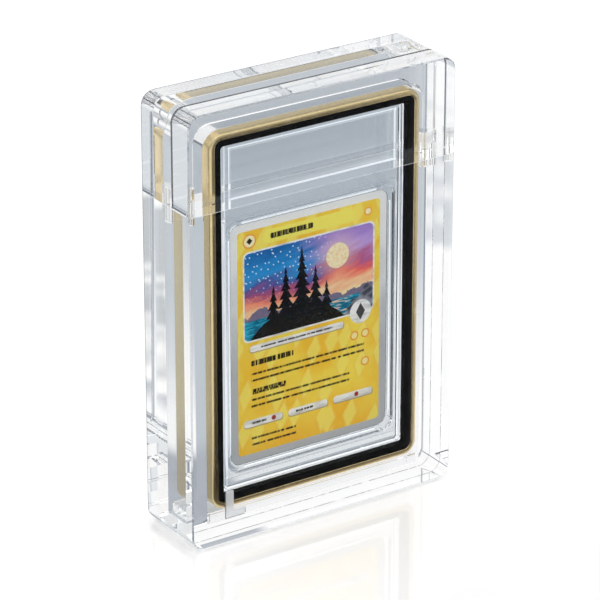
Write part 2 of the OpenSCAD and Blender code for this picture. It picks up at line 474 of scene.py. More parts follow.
# Each pine has its tip and its slope
PINES = ((17.0, 24.5, 0.24), (22.0, 18.5, 0.21), (28.5, 12.6, 0.20), (34.0, 21.0, 0.22), (38.5, 27.5, 0.25))
SEAL = (52.5, 43.0)
BADGE = (7.6, 6.6)
PIP = (55.4, 6.6)
BUTTONS = ((50.0, 51.6), (54.5, 51.6), (54.5, 62.2))
DROPS = ((17.0, 73.9), (51.0, 73.9))
BARS = ((7.5, 45.0, 45.5, 47.4), (5.0, 72.6, 20.5, 75.2), (23.0, 72.6, 39.0, 75.2), (41.5, 72.6, 57.5, 75.2))
HEADINGS = ((16.0, 5.5, 33.0, 7.5), (8.0, 50.6, 25.0, 52.6), (8.0, 61.2, 22.0, 63.2))
PARAGRAPHS = ((8.0, 54.4, 54.0, 59.2), (8.0, 64.0, 48.0, 68.8), (8.0, 78.4, 26.0, 83.2))
# Each note ends with its corners' round
NOTES = ((12.0, 45.9, 41.0, 46.5, 0.1), (8.0, 73.5, 14.0, 74.3, 0.2), (26.0, 73.5, 33.0, 74.3, 0.2))
ROW = 2.4
LATTICE = 7.0


class Print(Finish):
    """The card's print. u runs across it from the left and v down from the top, in millimetres."""

    def __init__(self, name, **constants):
        super().__init__(name, **constants)
        x, self.y, z = self.place()
        self.u = x - card_low.x
        self.v = card_high.z - z
        self.fine = self.flat_noise(self.u * 0.9, self.v * 0.9, 3.0)
        self.wash = self.flat_noise(self.u * 0.07, self.v * 0.07, 3.0)

    def flat_noise(self, a, b, detail=2.0, rough=0.5):
        return self.noise(self.vector(a, b), 1.0, detail, rough)

    def cells(self, a, b, scale, jitter=1.0, metric="EUCLIDEAN"):
        settings = {"voronoi_dimensions": "2D", "distance": metric}
        sockets = {"Vector": self.vector(a, b), "Scale": scale, "Randomness": jitter}
        return self.node("ShaderNodeTexVoronoi", settings, sockets)["Distance"]

    def colours(self, value, *stops):
        return self.node("ShaderNodeValToRGB", {"stops": stops}, {0: value}).link()

    def spot(self, u0, v0, r, soft=0.12):
        """1 inside a disc round (u0, v0)."""
        across, down = self.u - u0, self.v - v0
        return (across * across + down * down).math("SQRT").ramp(r + soft, r - soft)

    def panel(self, u0, v0, u1, v1, r, soft=0.12):
        """1 inside a box with round corners."""
        across = (abs(self.u - (u0 + u1) / 2) - ((u1 - u0) / 2 - r)).most(0)
        down = (abs(self.v - (v0 + v1) / 2) - ((v1 - v0) / 2 - r)).most(0)
        return (across * across + down * down).math("SQRT").ramp(r + soft, r - soft)

    def rhomb(self, u0, v0, slope=1.0):
        """How far a point is from (u0, v0), measured along the sides of a rhomb."""
        return abs(self.u - u0) * slope + abs(self.v - v0)

    def lay(self, base, colour, *masks):
        """base with colour laid over it wherever one of the masks is 1."""
        return self.mix(base, colour, reduce(Value.most, masks))


def paint_sky(card):
    """Dusk clouds, blue on the left and violet on the right, with stars and the moon."""
    u, v = card.u, card.v
    top, low = PICTURE[1], PICTURE[3]
    drift = card.flat_noise(u * 0.05, v * 0.22 + u * 0.05, 5.0, 0.6)
    fall = (v - top) / (low - top) + (drift - 0.5) * 0.5
    east = card.colours(
        fall,
        (0.0, (0.36, 0.22, 0.66)), (0.22, (0.56, 0.38, 0.78)), (0.38, (0.50, 0.12, 0.30)),
        (0.48, (0.92, 0.15, 0.12)), (0.58, (1.0, 0.42, 0.24)), (0.70, (1.0, 0.80, 0.45)),
    )
    west = card.colours(
        fall,
        (0.0, (0.01, 0.14, 0.44)), (0.28, (0.02, 0.32, 0.72)), (0.42, (0.08, 0.10, 0.36)),
        (0.52, (0.46, 0.09, 0.20)), (0.60, (0.98, 0.30, 0.18)), (0.72, (1.0, 0.62, 0.34)),
    )
    sky = card.mix(west, east, (u + (drift - 0.5) * 30).ramp(24, 44))
    stars = (card.cells(u, v, 0.42) < 0.11) * v.ramp(32, 20) * u.ramp(48, 30)
    sky = card.mix(sky, (0.75, 0.95, 1.0), stars)
    sky = card.mix(sky, (1.0, 0.70, 0.45), card.spot(*MOON, 6.5, 5.0) * 0.35)
    moon = card.mix((1.0, 0.90, 0.58), (0.95, 0.70, 0.36), card.fine.ramp(0.45, 0.65))
    return card.mix(sky, moon, card.spot(*MOON, 4.6))


def paint_shore(card, picture, ridge):
    """A far ridge, a lake that mirrors the moon, and rocks on the right."""
    u, v = card.u, card.v
    slopes = card.mix((0.10, 0.14, 0.26), (0.30, 0.20, 0.28), card.fine)
    picture = card.mix(picture, slopes, (v + ridge * 13 - 40.0).ramp(-0.1, 0.1))
    ripple = card.flat_noise(u * 0.25, v * 1.6, 3.0)
    lake = card.mix((0.0, 0.14, 0.26), (0.02, 0.46, 0.66), ripple.ramp(0.42, 0.6))
    lake = card.mix(lake, (0.95, 0.62, 0.36), ripple.ramp(0.52, 0.6) * abs(u - MOON[0]).ramp(7, 2))
    picture = card.mix(picture, lake, (v + ridge - 36.4).ramp(-0.1, 0.1))
    facets = card.cells(u * 0.7 + v * 0.3, v, 0.28, 1.0, "MANHATTAN")
    boulders = (v - facets * 3.5 - abs(u - 55.0) * 0.9 - 32.0).ramp(-0.15, 0.15)
    stone = card.mix((0.05, 0.06, 0.09), (0.30, 0.31, 0.38), facets.ramp(0.15, 0.75))
    return card.mix(picture, stone, boulders)


def paint_hill(card, picture, ridge):
    """A dark hill, and on it pines whose boughs widen in tiers."""
    u, v = card.u, card.v
    hump = (u - 27.0) / 13.0
    hill = (v + ridge * 3.0 - (hump * hump).least(3.0) * 4.0 - 35.5).ramp(-0.12, 0.12)
    for u0, v0, slope in PINES:
        tier = ((v - v0) / 3.1).math("FRACT")
        bough = (v - v0) * slope * (tier * 0.6 + 0.45)
        hill = hill.most((bough - abs(u - u0)).ramp(-0.1, 0.1) * (v > v0))
    moss = card.mix((0.003, 0.0035, 0.006), (0.03, 0.06, 0.09), card.fine.ramp(0.52, 0.72) * 0.5)
    return card.mix(picture, moss, hill)


def paint_field(card):
    """The yellow field with pale rhombs, deeper towards its foot."""
    u, v = card.u, card.v
    field = card.mix((0.96, 0.57, 0.04), (0.97, 0.75, 0.09), card.wash.ramp(0.35, 0.65))
    field = card.mix(field, (0.95, 0.50, 0.03), v.ramp(68, 88) * 0.7)
    rhombs = card.cells(u * 1.5 + v * 0.25, v * 0.75, 0.09, 0.8, "MANHATTAN")
    inside = rhombs.ramp(0.46, 0.40)
    field = card.mix(field, (0.98, 0.83, 0.15), inside * 0.8)
    return card.mix(field, (0.93, 0.46, 0.07), (inside - rhombs.ramp(0.40, 0.34)) * 0.5)


def paint_marks(card, art, silver):
    """Discs, silver bars, broken rules and pips, laid over the field and the picture."""
    u, v = card.u, card.v
    ink = (0.015, 0.012, 0.01)
    art = card.lay(art, silver, card.spot(*SEAL, 4.4))
    art = card.lay(art, (0.06, 0.06, 0.07), card.spot(*SEAL, 3.7) * card.rhomb(*SEAL, 1.7).ramp(3.3, 3.1))
    art = card.lay(art, (0.90, 0.40, 0.05), card.spot(*BADGE, 2.7), card.spot(*PIP, 1.6))
    art = card.lay(art, (1.0, 0.90, 0.55), card.spot(*BADGE, 2.1), card.spot(*PIP, 1.1))
    art = card.lay(art, ink, card.rhomb(*BADGE).ramp(1.3, 1.1))

    shadows = [card.panel(u0 - 0.1, v0 + 0.2, u1 + 0.3, v1 + 0.4, 1.2) for u0, v0, u1, v1 in BARS]
    art = card.lay(art, (0.45, 0.36, 0.20), *shadows)
    art = card.lay(art, silver, *[card.panel(*bar, 1.1) for bar in BARS])

    dash = card.flat_noise(u * 0.9, (v / ROW).math("FLOOR") * 9.0, 4.0, 0.8).ramp(0.44, 0.48)
    row = abs(((v - PARAGRAPHS[0][1]) / ROW).math("FRACT") - 0.5).ramp(0.20, 0.13)
    rules = [card.panel(*box, 0.4) * dash for box in HEADINGS]
    rules += [card.panel(*box, 0.1) * row * dash for box in PARAGRAPHS]
    rules += [card.panel(*note) * dash for note in NOTES]
    art = card.lay(art, ink, *rules)
    art = card.lay(art, (0.88, 0.36, 0.05), *[card.spot(*button, 1.7) for button in BUTTONS])
    art = card.lay(art, (1.0, 0.84, 0.35), *[card.spot(*button, 1.2) for button in BUTTONS])
    return card.lay(art, (0.35, 0.03, 0.02), *[card.spot(*drop, 0.9) for drop in DROPS])


def paint_front(card):
    """The printed side: a silver border, the field, the picture in its frame, and the marks."""
    u, v = card.u, card.v
    left, top, right, low = PICTURE
    margin, frame_w = 2.7, 0.6
    # The printed silver ink, with painted sheen: streaks lighter and darker at random
    painted_sheen = card.flat_noise(u * 0.15, v * 0.5).ramp(0.3, 0.6)
    silver = card.mix((0.60, 0.60, 0.60), (0.95, 0.95, 0.94), painted_sheen)
    # Painted sheen on the silver border: lighter at the top, darker towards the bottom
    border = card.mix((0.88, 0.88, 0.87), (0.50, 0.51, 0.53), (v + (card.wash - 0.5) * 60).ramp(8, 60))
    inside = card.panel(margin, margin, CARD_W - margin, CARD_H - margin, 1.4)
    art = card.mix(border, paint_field(card), inside)
    art = card.mix(art, (0.97, 0.86, 0.14), card.panel(13.0, 4.0, 50.0, 9.0, 2.4))
    around = card.panel(left - frame_w, top - frame_w, right + frame_w, low + frame_w, 2.3)
    art = card.mix(art, silver, around)
    ridge = card.flat_noise(u * 0.12, 3.0, 4.0, 0.6)
    picture = paint_hill(card, paint_shore(card, paint_sky(card), ridge), ridge)
    art = card.mix(art, picture, card.panel(*PICTURE, 1.8))
    return paint_marks(card, art, silver)


def paint_back(card):
    """A blue lattice with pale lines inside a grey border."""
    margin = 3.0
    slants = [abs((slant / LATTICE).math("FRACT") - 0.5) for slant in (card.u + card.v, card.u - card.v)]
    weave = slants[0].least(slants[1])
    back = card.mix((0.03, 0.07, 0.26), (0.10, 0.22, 0.52), weave.ramp(0.05, 0.5))
    back = card.mix(back, (0.72, 0.62, 0.34), weave.ramp(0.05, 0.025))
    inside = card.panel(margin, margin, CARD_W - margin, CARD_H - margin, 1.8)
    return card.mix((0.55, 0.56, 0.60), back, inside)


def make_card():
    """A generic card: pines over a lake at dusk on a yellow field, and a blue lattice behind."""
    card = Print("card_print", IOR=1.5, Specular_IOR_Level=0.12)
    behind = card.y.ramp(CARD_DEEP - HAIR, CARD_DEEP + HAIR)
    card.feed("Base Color", card.mix(paint_front(card), paint_back(card), behind))
    card.feed("Roughness", card.fine * 0.12 + 0.32)
    return card.material


CLEAR = make_acrylic()
CLIP_CLEAR = make_clip()
SLAB_CLEAR = make_slab_plastic()
GOLD = make_gold()
RUBBER = make_rubber()
NICKEL = make_nickel()
CARD_PRINT = make_card()


# Outlines
def quarter(x, z, radius, start, steps):
    """A quarter circle about (x, z), anticlockwise from start degrees."""
    turns = (math.radians(start + 90 * k / steps) for k in range(steps + 1))
    return [(x + radius * math.cos(turn), z + radius * math.sin(turn)) for turn in turns]


def outline(x0, z0, x1, z1, radii, steps=16):
    """A box's outline with a radius for each corner, anticlockwise from the lower left."""
    points = []
    places = ((x0, z0, 1, 1, 180), (x1, z0, -1, 1, 270), (x1, z1, -1, -1, 0), (x0, z1, 1, -1, 90))
    for (x, z, inward, upward, start), radius in zip(places, radii):
        if radius:
            points += quarter(x + inward * radius, z + upward * radius, radius, start, steps)
        else:
            points.append((x, z))
    return points


def outline_about(z, w, h, radius, steps):
    """The outline of a w by h box in the bumper, with its middle at height z."""
    return outline(MID - w / 2, z - h / 2, MID + w / 2, z + h / 2, (radius,) * 4, steps)


def in_bumper(w, h, radius):
    return outline_about(BUMPER_MID, w, h, radius, 16)


def at_card(w, h, radius, steps=12):
    return outline_about(CARD_MID, w, h, radius, steps)


def inset(points, amount):
    """The outline moved inwards by amount, or outwards where it is negative."""
    if not amount:
        return points
    moved = []
    for i, (x, z) in enumerate(points):
        last_x, last_z = points[i - 1]
        next_x, next_z = points[(i + 1) % len(points)]
        before = Vector((x - last_x, z - last_z)).normalized()
        after = Vector((next_x - x, next_z - z)).normalized()
        n1, n2 = Vector((-before.y, before.x)), Vector((-after.y, after.x))
        out = (n1 + n2) * (amount / (1 + n1.dot(n2)))
        moved.append((x + out.x, z + out.y))
    return moved


# Meshes
def add_rings(bm, rings):
    """The corners of each ring, given in millimetres."""
    return [[bm.verts.new([value * MM for value in point]) for point in ring] for ring in rings]


def add_strips(bm, rings):
    """Joins each ring to the next with a strip of faces."""
    for a, b in zip(rings, rings[1:]):
        for i in range(len(a)):
            j = (i + 1) % len(a)
            bm.faces.new((a[i], a[j], b[j], b[i]))


def add_solid(bm, rings):
    """A closed solid that runs through rings of as many corners each."""
    rings = add_rings(bm, rings)
    add_strips(bm, rings)
    bm.faces.new(rings[0][::-1])
    bm.faces.new(rings[-1])


def add_hoop(bm, sections):
    """A closed hoop from outlines (points, y), in order round its cross-section."""
    rings = add_rings(bm, [[(x, y, z) for x, z in points] for points, y in sections])
    add_strips(bm, rings + rings[:1])


def baked(made):
    """The object with its modifiers applied."""
    bpy.context.view_layer.update()
    deps = bpy.context.evaluated_depsgraph_get()
    live = made.evaluated_get(deps)
    mesh = bpy.data.meshes.new_from_object(live, preserve_all_data_layers=True, depsgraph=deps)
    made.modifiers.clear()
    made.data = mesh
    mesh.name = made.name
    return made


def shade_by_angle(made, sharp):
    """Smooth round faces, and flat faces that stay flat up to their edges."""
    made.data.shade_smooth()
    made.data.set_sharp_from_angle(angle=math.radians(sharp))
    weighted = made.modifiers.new("flat", "WEIGHTED_NORMAL")
    weighted.keep_sharp = True
    weighted.weight = 100
    return baked(made)


def merge(mesh, outwards=False):
    """Merges the mesh's doubles, and turns its faces outwards where asked."""
    bm = bmesh.new()
    bm.from_mesh(mesh)
    bmesh.ops.remove_doubles(bm, verts=bm.verts, dist=MERGE)
    if outwards:
        bmesh.ops.recalc_face_normals(bm, faces=bm.faces)
    bm.to_mesh(mesh)
    bm.free()


def to_object(add, name, sharp=SHARP):
    """The object made by a function that adds its shape to a bmesh."""
    mesh = bpy.data.meshes.new(name)
    bm = bmesh.new()
    add(bm)
    bm.to_mesh(mesh)
    bm.free()
    merge(mesh, outwards=True)
    made = bpy.data.objects.new(name, mesh)
    bpy.context.scene.collection.objects.link(made)
    return shade_by_angle(made, sharp)


def solid(name, rings):
    return to_object(lambda bm: add_solid(bm, rings), name)


def hoop(name, sections, sharp):
    return to_object(lambda bm: add_hoop(bm, sections), name, sharp)


def stack(name, points, levels, square=None):
    """A closed solid from one outline at several depths (y, inset). Edges at height square stay sharp."""
    rings = []
    for y, amount in levels:
        moved = zip(inset(points, amount), points)
        rings.append([(x, y, square if old[1] == square else z) for (x, z), old in moved])
    return solid(name, rings)


def plate_levels(y0, y1, edge, *joints):
    """Levels of one plate, or of bonded plates with a groove at each joint."""
    levels = [(y0, edge), (y0 + edge, 0)]
    for y in joints:
        levels += [(y - GROOVE, 0), (y, GROOVE), (y + GROOVE, 0)]
    return levels + [(y1 - edge, 0), (y1, edge)]


def carve(made, *cutters, operation="DIFFERENCE"):
    """Cuts the cutters out of made, or joins them to it, and removes them."""
    for cutter in cutters:
        cut = made.modifiers.new("cut", "BOOLEAN")
        cut.operation = operation
        cut.solver = "EXACT"
        cut.object = cutter
    baked(made)
    for cutter in cutters:
        bpy.data.objects.remove(cutter)
    merge(made.data)
    return shade_by_angle(made, SHARP)


def settle(made, material, body, slot, *nodes):
    """Dresses a finished piece and puts it on its CAD body."""
    made.data.materials.clear()
    made.data.materials.append(material)
    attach(made, body)
    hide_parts(*nodes)


# Cutters
def bores(z0, z1, steps=48):
    """Round cutters at both of the magnets' places."""
    turns = [2 * math.pi * k / steps for k in range(steps)]
    circle = [(BORE_D / 2 * math.cos(turn), BORE_D / 2 * math.sin(turn)) for turn in turns]
    return [
        solid("bore", [[(middle + x, MAGNET_Y + y, z) for x, y in circle] for z in (z0, z1)])
        for middle in (-MAGNET_X, MAGNET_X)
    ]


def pocket(top):
    """The pocket in the body, with a bevel round its mouth."""
    rings = []
    for z, bevel in ((FLOOR, 0), (top - MOUTH_BEVEL, 0), (top, MOUTH_BEVEL), (top + CLEAR_OUT, MOUTH_BEVEL)):
        x, y0, y1 = POCKET + bevel, CORE - bevel, REAR + bevel
        rings.append([(-x, y0, z), (x, y0, z), (x, y1, z), (-x, y1, z)])
    return solid("pocket", rings)


def rib_groove(x):
    """A shallow V along the slab's front face."""
    front, deep = slab_low.y - 0.15, slab_low.y + 0.3
    ends = (slab_low.z + 0.5, slab_high.z - 0.5)
    rings = [[(x - RIB_HALF, front, z), (x + RIB_HALF, front, z), (x, deep, z)] for z in ends]
    return solid("rib_groove", rings)


def card_room(y0, y1):
    """Half of the room for the card and its holder."""
    return stack("card_room", at_card(ROOM_W, ROOM_H, 0.8, 4), ((y0, 0), (y1, 0)))


# The lower body
body_top = SEAM - SEAM_AIR
body_block = stack(
    "body_block",
    outline(-HALF_W, 0, HALF_W, body_top, (CORNER, CORNER, 0, 0), 32),
    plate_levels(FRONT, BACK, EDGE, CORE, REAR),
    square=body_top,
)
carve(body_block, pocket(body_top), *bores(SEAM - BORE_L, SEAM + CLEAR_OUT))
settle(
    body_block, CLEAR, "case_body", "clear_acrylic",
    "body_front_panel", "body_core_frame", "body_back_panel",
)

# A hair of air keeps the bar and the clip off the faces beside them
BAR_BEVEL = 0.3
base_bar = stack(
    "base_bar_clear",
    outline(bar_low.x, bar_low.z + 0.04, bar_high.x, bar_high.z - 0.04, (BAR_BEVEL,) * 4, 1),
    plate_levels(bar_low.y + 0.02, bar_high.y, BAR_BEVEL),
)
settle(base_bar, CLEAR, "case_body", "clear_acrylic", "base_bar")


def clip_outline():
    """An L with cut corners: a leg that stands on the left end of a foot."""
    x0, z0, x1, z1 = clip_low.x, clip_low.z, clip_high.x, clip_high.z
    leg_x, foot_z, toe, cut = x0 + LEG_W, z0 + FOOT_H, 0.6, 0.5
    return [
        (x0, z0), (x1 - toe, z0), (x1, z0 + toe),
        (x1, foot_z - cut), (x1 - cut, foot_z), (leg_x + cut, foot_z), (leg_x, foot_z + cut),
        (leg_x, z1 - cut), (leg_x - cut, z1), (x0 + cut, z1), (x0, z1 - cut),
    ]


corner_clip = stack("corner_clip", clip_outline(), plate_levels(clip_low.y + 0.03, clip_high.y - 0.01, 0.16))
settle(corner_clip, CLIP_CLEAR, "case_body", "clear_acrylic", "retaining_clip")

# The lid
lid_low = SEAM + SEAM_AIR
lid_outline = outline(-HALF_W, lid_low, HALF_W, TOP, (0, 0, CORNER, CORNER), 32)
for name, node, y0, y1 in (
    ("lid_front_plate", "lid_front_panel", FRONT, CORE - PLATE_AIR),
    ("lid_back_plate", "lid_back_panel", REAR + PLATE_AIR, BACK),
):
    plate = stack(name, lid_outline, plate_levels(y0, y1, EDGE), square=lid_low)
    settle(plate, CLEAR, "lid", "clear_acrylic", node)


def arch_outline():
    """The middle plate's upturned U, round its outside and then back along the pocket."""
    inner = outline(-POCKET, lid_low, POCKET, POCKET_TOP, (0, 0, POCKET_R, POCKET_R), 32)
    return lid_outline[1:] + lid_outline[:1] + inner[:1] + inner[:0:-1]


arch_front, arch_rear = CORE + PLATE_AIR, REAR - PLATE_AIR
arch_levels = (
    (arch_front, JOINT_EDGE), (arch_front + JOINT_EDGE, 0),
    (arch_rear - REAR_JOINT_EDGE, 0), (arch_rear, REAR_JOINT_EDGE),
)
lid_core = stack("lid_core_arch", arch_outline(), arch_levels, square=lid_low)
carve(lid_core, *bores(SEAM - CLEAR_OUT, SEAM + BORE_L))
settle(lid_core, CLEAR, "lid", "clear_acrylic", "lid_core_frame")


# Geometry nodes
class Growth(Nodes):
    """A Geometry Nodes tree in millimetres, with named inputs for its sizes."""

    KINDS = {int: "NodeSocketInt", float: "NodeSocketFloat", tuple: "NodeSocketVector"}

    def __init__(self, name, **inputs):
        super().__init__(bpy.data.node_groups.new(name, "GeometryNodeTree"))
        self.ids = {}
        for key, value in inputs.items():
            kind = self.KINDS.get(type(value), "NodeSocketObject")
            socket = self.tree.interface.new_socket(key, in_out="INPUT", socket_type=kind)
            self.ids[key] = socket.identifier
            if value is not None:
                socket.default_value = value
        self.tree.interface.new_socket("Geometry", in_out="OUTPUT", socket_type="NodeSocketGeometry")
        self.sizes = self.node("NodeGroupInput")

    def shape(self, kind, settings=None, **sockets):
        """Adds a node whose first output is a geometry, and gives that output."""
        named = {key.replace("_", " "): value for key, value in sockets.items()}
        return self.node(kind, settings, named).link()

    def moved(self, geometry, **how):
        return self.shape("GeometryNodeTransform", Geometry=geometry, **how)

    def finish(self, geometry, material):
        """Ends the tree with the geometry in metres, as real faces in the material."""
        scaled = self.moved(geometry, Scale=(MM, MM, MM))
        real = self.shape("GeometryNodeRealizeInstances", Geometry=scaled)
        dressed = self.shape("GeometryNodeSetMaterial", Geometry=real, Material=material)
        self.node("NodeGroupOutput", {}, {0: dressed})

    def build(self, name, sharp, **inputs):
        """A plain mesh object from the tree. Its inputs are set by the sockets' identifiers."""
        made = bpy.data.objects.new(name, bpy.data.meshes.new(name))
        bpy.context.scene.collection.objects.link(made)
        modifier = made.modifiers.new("tree", "NODES")
        modifier.node_group = self.tree
        for key, value in inputs.items():
            modifier[self.ids[key]] = value
        baked(made)
        merge(made.data, outwards=True)
        return shade_by_angle(made, sharp)


def rod_tree():
    """Two upright rods side by side, with bevelled ends, which may be flattened and turned."""
    tree = Growth(
        "rod_pair", Radius=3.0, Length=6.0, Bevel=0.3, Spread=48.0, Flatten=1.0, Turn=0.0, Sides=48,
        Centre=(0.0, 0.0, 0.0),
    )
    size = tree.sizes
    # The spine has four points: each end, and where each end's bevel starts
    spine = tree.shape("GeometryNodeMeshLine", Count=4, Start_Location=(0, 0, 0), Offset=(0, 0, 1))
    spine = tree.shape("GeometryNodeMeshToCurve", Mesh=spine)
    from_middle = tree.node("GeometryNodeInputIndex")[0] - 1.5
    at_end = abs(from_middle) > 1.0
    height = (size["Length"] * 0.5 - size["Bevel"] * (1.0 - at_end)) * ((from_middle > 0.0) * 2.0 - 1.0)
    spine = tree.shape("GeometryNodeSetPosition", Geometry=spine, Position=tree.vector(z=height))
    width = size["Radius"] - size["Bevel"] * at_end
    spine = tree.shape("GeometryNodeSetCurveRadius", Curve=spine, Radius=width)
    ring = tree.shape("GeometryNodeCurvePrimitiveCircle", Resolution=size["Sides"], Radius=1.0)
    thickness = tree.node("GeometryNodeInputRadius")[0]
    rod = tree.shape(
        "GeometryNodeCurveToMesh", Curve=spine, Profile_Curve=ring, Scale=thickness, Fill_Caps=True,
    )
    rod = tree.moved(rod, Scale=tree.vector(1.0, size["Flatten"], 1.0))

    start, step = tree.vector(x=-size["Spread"]), tree.vector(x=size["Spread"] * 2.0)
    places = tree.shape("GeometryNodeMeshLine", Count=2, Start_Location=start, Offset=step)
    pair = tree.shape("GeometryNodeInstanceOnPoints", Points=places, Instance=rod)
    pair = tree.moved(pair, Rotation=tree.vector(y=size["Turn"]))
    tree.finish(tree.moved(pair, Translation=size["Centre"]), NICKEL)
    return tree


def sweep_tree():
    """A profile swept round a flat box with round corners, which is then stood upright."""
    tree = Growth(
        "frame_sweep", Width=80.0, Height=130.0, Corner=5.0, Steps=16, Middle=1.0, Front=0.0, Lift=70.0,
        Profile=None,
    )
    size = tree.sizes
    box = tree.shape("GeometryNodeCurvePrimitiveQuadrilateral", Width=size["Width"], Height=size["Height"])
    path = tree.shape(
        "GeometryNodeFilletCurve", {"mode": "POLY"},
        Curve=box, Radius=size["Corner"], Limit_Radius=False, Count=size["Steps"],
    )
    section = tree.node("GeometryNodeObjectInfo", {}, {"Object": size["Profile"]})
    rim = tree.shape("GeometryNodeCurveToMesh", Curve=path, Profile_Curve=section.link("Geometry"))
    place = tree.vector(size["Middle"], size["Front"], size["Lift"])
    tree.finish(tree.moved(rim, Translation=place, Rotation=(math.radians(90), 0, 0)), GOLD)
    return tree


def profile_object(name, points):
    """A closed flat curve for a sweep: x runs inwards from the path, y runs up from it."""
    curve = bpy.data.curves.new(name, "CURVE")
    curve.dimensions = "2D"
    spline = curve.splines.new("POLY")
    spline.points.add(len(points) - 1)
    for point, (x, y) in zip(spline.points, points):
        point.co = (-x, y, 0, 1)
    spline.use_cyclic_u = True
    made = bpy.data.objects.new(name, curve)
    bpy.context.scene.collection.objects.link(made)
    return made


# The bumper
def lip_profile():
    """The rim's cross-section: x inwards from its outside, y back from its front."""
    deep = bumper_high.y - bumper_low.y
    outer_r, inner_r = 0.95, 0.22
    return [
        (0.0, deep), *quarter(outer_r, outer_r, outer_r, 180, 5),
        *quarter(LIP - inner_r, inner_r, inner_r, 270, 3), (LIP, RIM), (RIM, RIM), (RIM, deep),
    ]


rods = rod_tree()
profile = profile_object("lip_profile", lip_profile())
bumper = sweep_tree().build(
    "bumper_rim", 40, Width=BUMPER_W, Height=BUMPER_H, Corner=FRAME_R, Steps=18,
    Middle=MID, Front=bumper_low.y, Lift=BUMPER_MID, Profile=profile,
)
bpy.data.objects.remove(profile)
settle(bumper, GOLD, "slab_set", "gold_metal", "bumper_frame")


# The rubber
def gasket():
    """Black rubber with a face inside the lip, and walls that fill the rim behind it."""
    face, under_lip, back = gasket_low.y, bumper_low.y + RIM + 0.03, slab_high.y - 0.02
    face_w, face_h = BUMPER_W - 2 * (LIP + RUBBER_PLAY), BUMPER_H - 2 * (LIP + RUBBER_PLAY)
    wall_w, wall_h = BUMPER_W - 2 * (RIM + RUBBER_PLAY), BUMPER_H - 2 * (RIM + RUBBER_PLAY)
    soft, mid, edge = 0.3, 0.1, 0.15
    return hoop("gasket_face", [
        (in_bumper(WINDOW_W, WINDOW_H, 1.0), face + soft),
        (in_bumper(WINDOW_W + 2 * mid, WINDOW_H + 2 * mid, 1.1), face + mid),
        (in_bumper(WINDOW_W + 2 * soft, WINDOW_H + 2 * soft, 1.3), face),
        (in_bumper(face_w - 2 * edge, face_h - 2 * edge, 2.6), face),
        (in_bumper(face_w, face_h, 2.75), face + edge),
        (in_bumper(face_w, face_h, 2.75), under_lip),
        (in_bumper(wall_w, wall_h, 3.75), under_lip),
        (in_bumper(wall_w, wall_h, 3.75), back),
        (in_bumper(WINDOW_W, WINDOW_H, 1.0), back),
    ], 35)


def cushion():
    """A flat rubber ring with rounded rear edges."""
    w, h = cushion_high.x - cushion_low.x, cushion_high.z - cushion_low.z
    open_w, open_h = w - 2 * CUSHION_W, h - 2 * CUSHION_W
    y0, y1 = cushion_low.y + 0.03, cushion_high.y
    soft, mid = 0.24, 0.07
    return hoop("cushion_ring", [
        (in_bumper(open_w, open_h, 1.0), y0),
        (in_bumper(w, h, 3.75), y0),
        (in_bumper(w, h, 3.75), y1 - soft),
        (in_bumper(w - 2 * mid, h - 2 * mid, 3.68), y1 - mid),
        (in_bumper(w - 2 * soft, h - 2 * soft, 3.5), y1),
        (in_bumper(open_w + 2 * soft, open_h + 2 * soft, 1.24), y1),
        (in_bumper(open_w + 2 * mid, open_h + 2 * mid, 1.07), y1 - mid),
        (in_bumper(open_w, open_h, 1.0), y1 - soft),
    ], 35)


settle(gasket(), RUBBER, "slab_set", "black_rubber", "front_gasket")
settle(cushion(), RUBBER, "slab_set", "black_rubber", "rear_cushion")


# The slab
def front_shell():
    """The front half, with the label recess, the room for the card and a rib groove on each side."""
    front = slab_low.y
    shell = stack("slab_front", slab_outline, (
        (front, 0.85), (front + 0.6, 0), (JOINT - WELD, 0), (JOINT - WELD_AIR, WELD_BEVEL),
    ))
    top = slab_high.z - LABEL_DROP
    label = outline(MID - LABEL_W / 2, top - LABEL_H, MID + LABEL_W / 2, top, (0.6,) * 4, 4)
    # Two chamfers lead down to the floor of the recess
    recess = stack("label_recess", label, (
        (front - 1, -0.7), (front, -0.7), (front + 0.4, -0.2), (front + 0.4, 0.3), (front + LABEL_DEPTH, 0.6),
    ))
    left, right = slab_low.x + RIB_INSET, slab_high.x - RIB_INSET
    carve(shell, recess, card_room(JOINT - ROOM_HALF, JOINT + 1), rib_groove(left), rib_groove(right))
    return shell


def rear_shell():
    """The rear half, with a bevelled back and the room for the card."""
    shell = stack("slab_rear", slab_outline, (
        (JOINT + WELD_AIR, WELD_BEVEL), (JOINT + WELD, 0), (slab_high.y - 0.5, 0), (slab_high.y, 0.6),
    ))
    carve(shell, card_room(JOINT - 1, JOINT + ROOM_HALF))
    return shell


def holder():
    """The frame round the card, open wider in front than behind, with four rails on its ledge."""
    w, h = ROOM_W - 2 * HOLDER_PLAY, ROOM_H - 2 * HOLDER_PLAY
    y0, y1 = JOINT - HOLDER_HALF, JOINT + HOLDER_HALF
    tight_w, tight_h = CARD_W + CARD_PLAY, CARD_H + CARD_PLAY
    wide_w, wide_h = CARD_W + 2 * LEDGE, CARD_H + 2 * LEDGE
    slope = 0.4
    ring = hoop("holder_ring", [
        (at_card(w, h, 0.75), y0),
        (at_card(w, h, 0.75), y1),
        (at_card(tight_w, tight_h, 3.2), y1),
        (at_card(tight_w, tight_h, 3.2), LEDGE_Y),
        (at_card(wide_w - slope, wide_h - slope, 4.0), LEDGE_Y),
        (at_card(wide_w, wide_h, 4.2), y0),
    ], SHARP)
    upright = (0.0, CARD_H - 2 * RAIL_SHORT, CARD_W / 2 + RAIL_OUT)
    level = (math.pi / 2, CARD_W - 2 * RAIL_SHORT, CARD_H / 2 + RAIL_OUT)
    for turn, length, spread in (upright, level):
        rails = rods.build(
            "rails", SHARP, Radius=RAIL_R, Length=length, Bevel=0.2, Spread=spread, Flatten=0.9, Turn=turn,
            Sides=20, Centre=(MID, LEDGE_Y, CARD_MID),
        )
        carve(ring, rails, operation="UNION")
    return ring


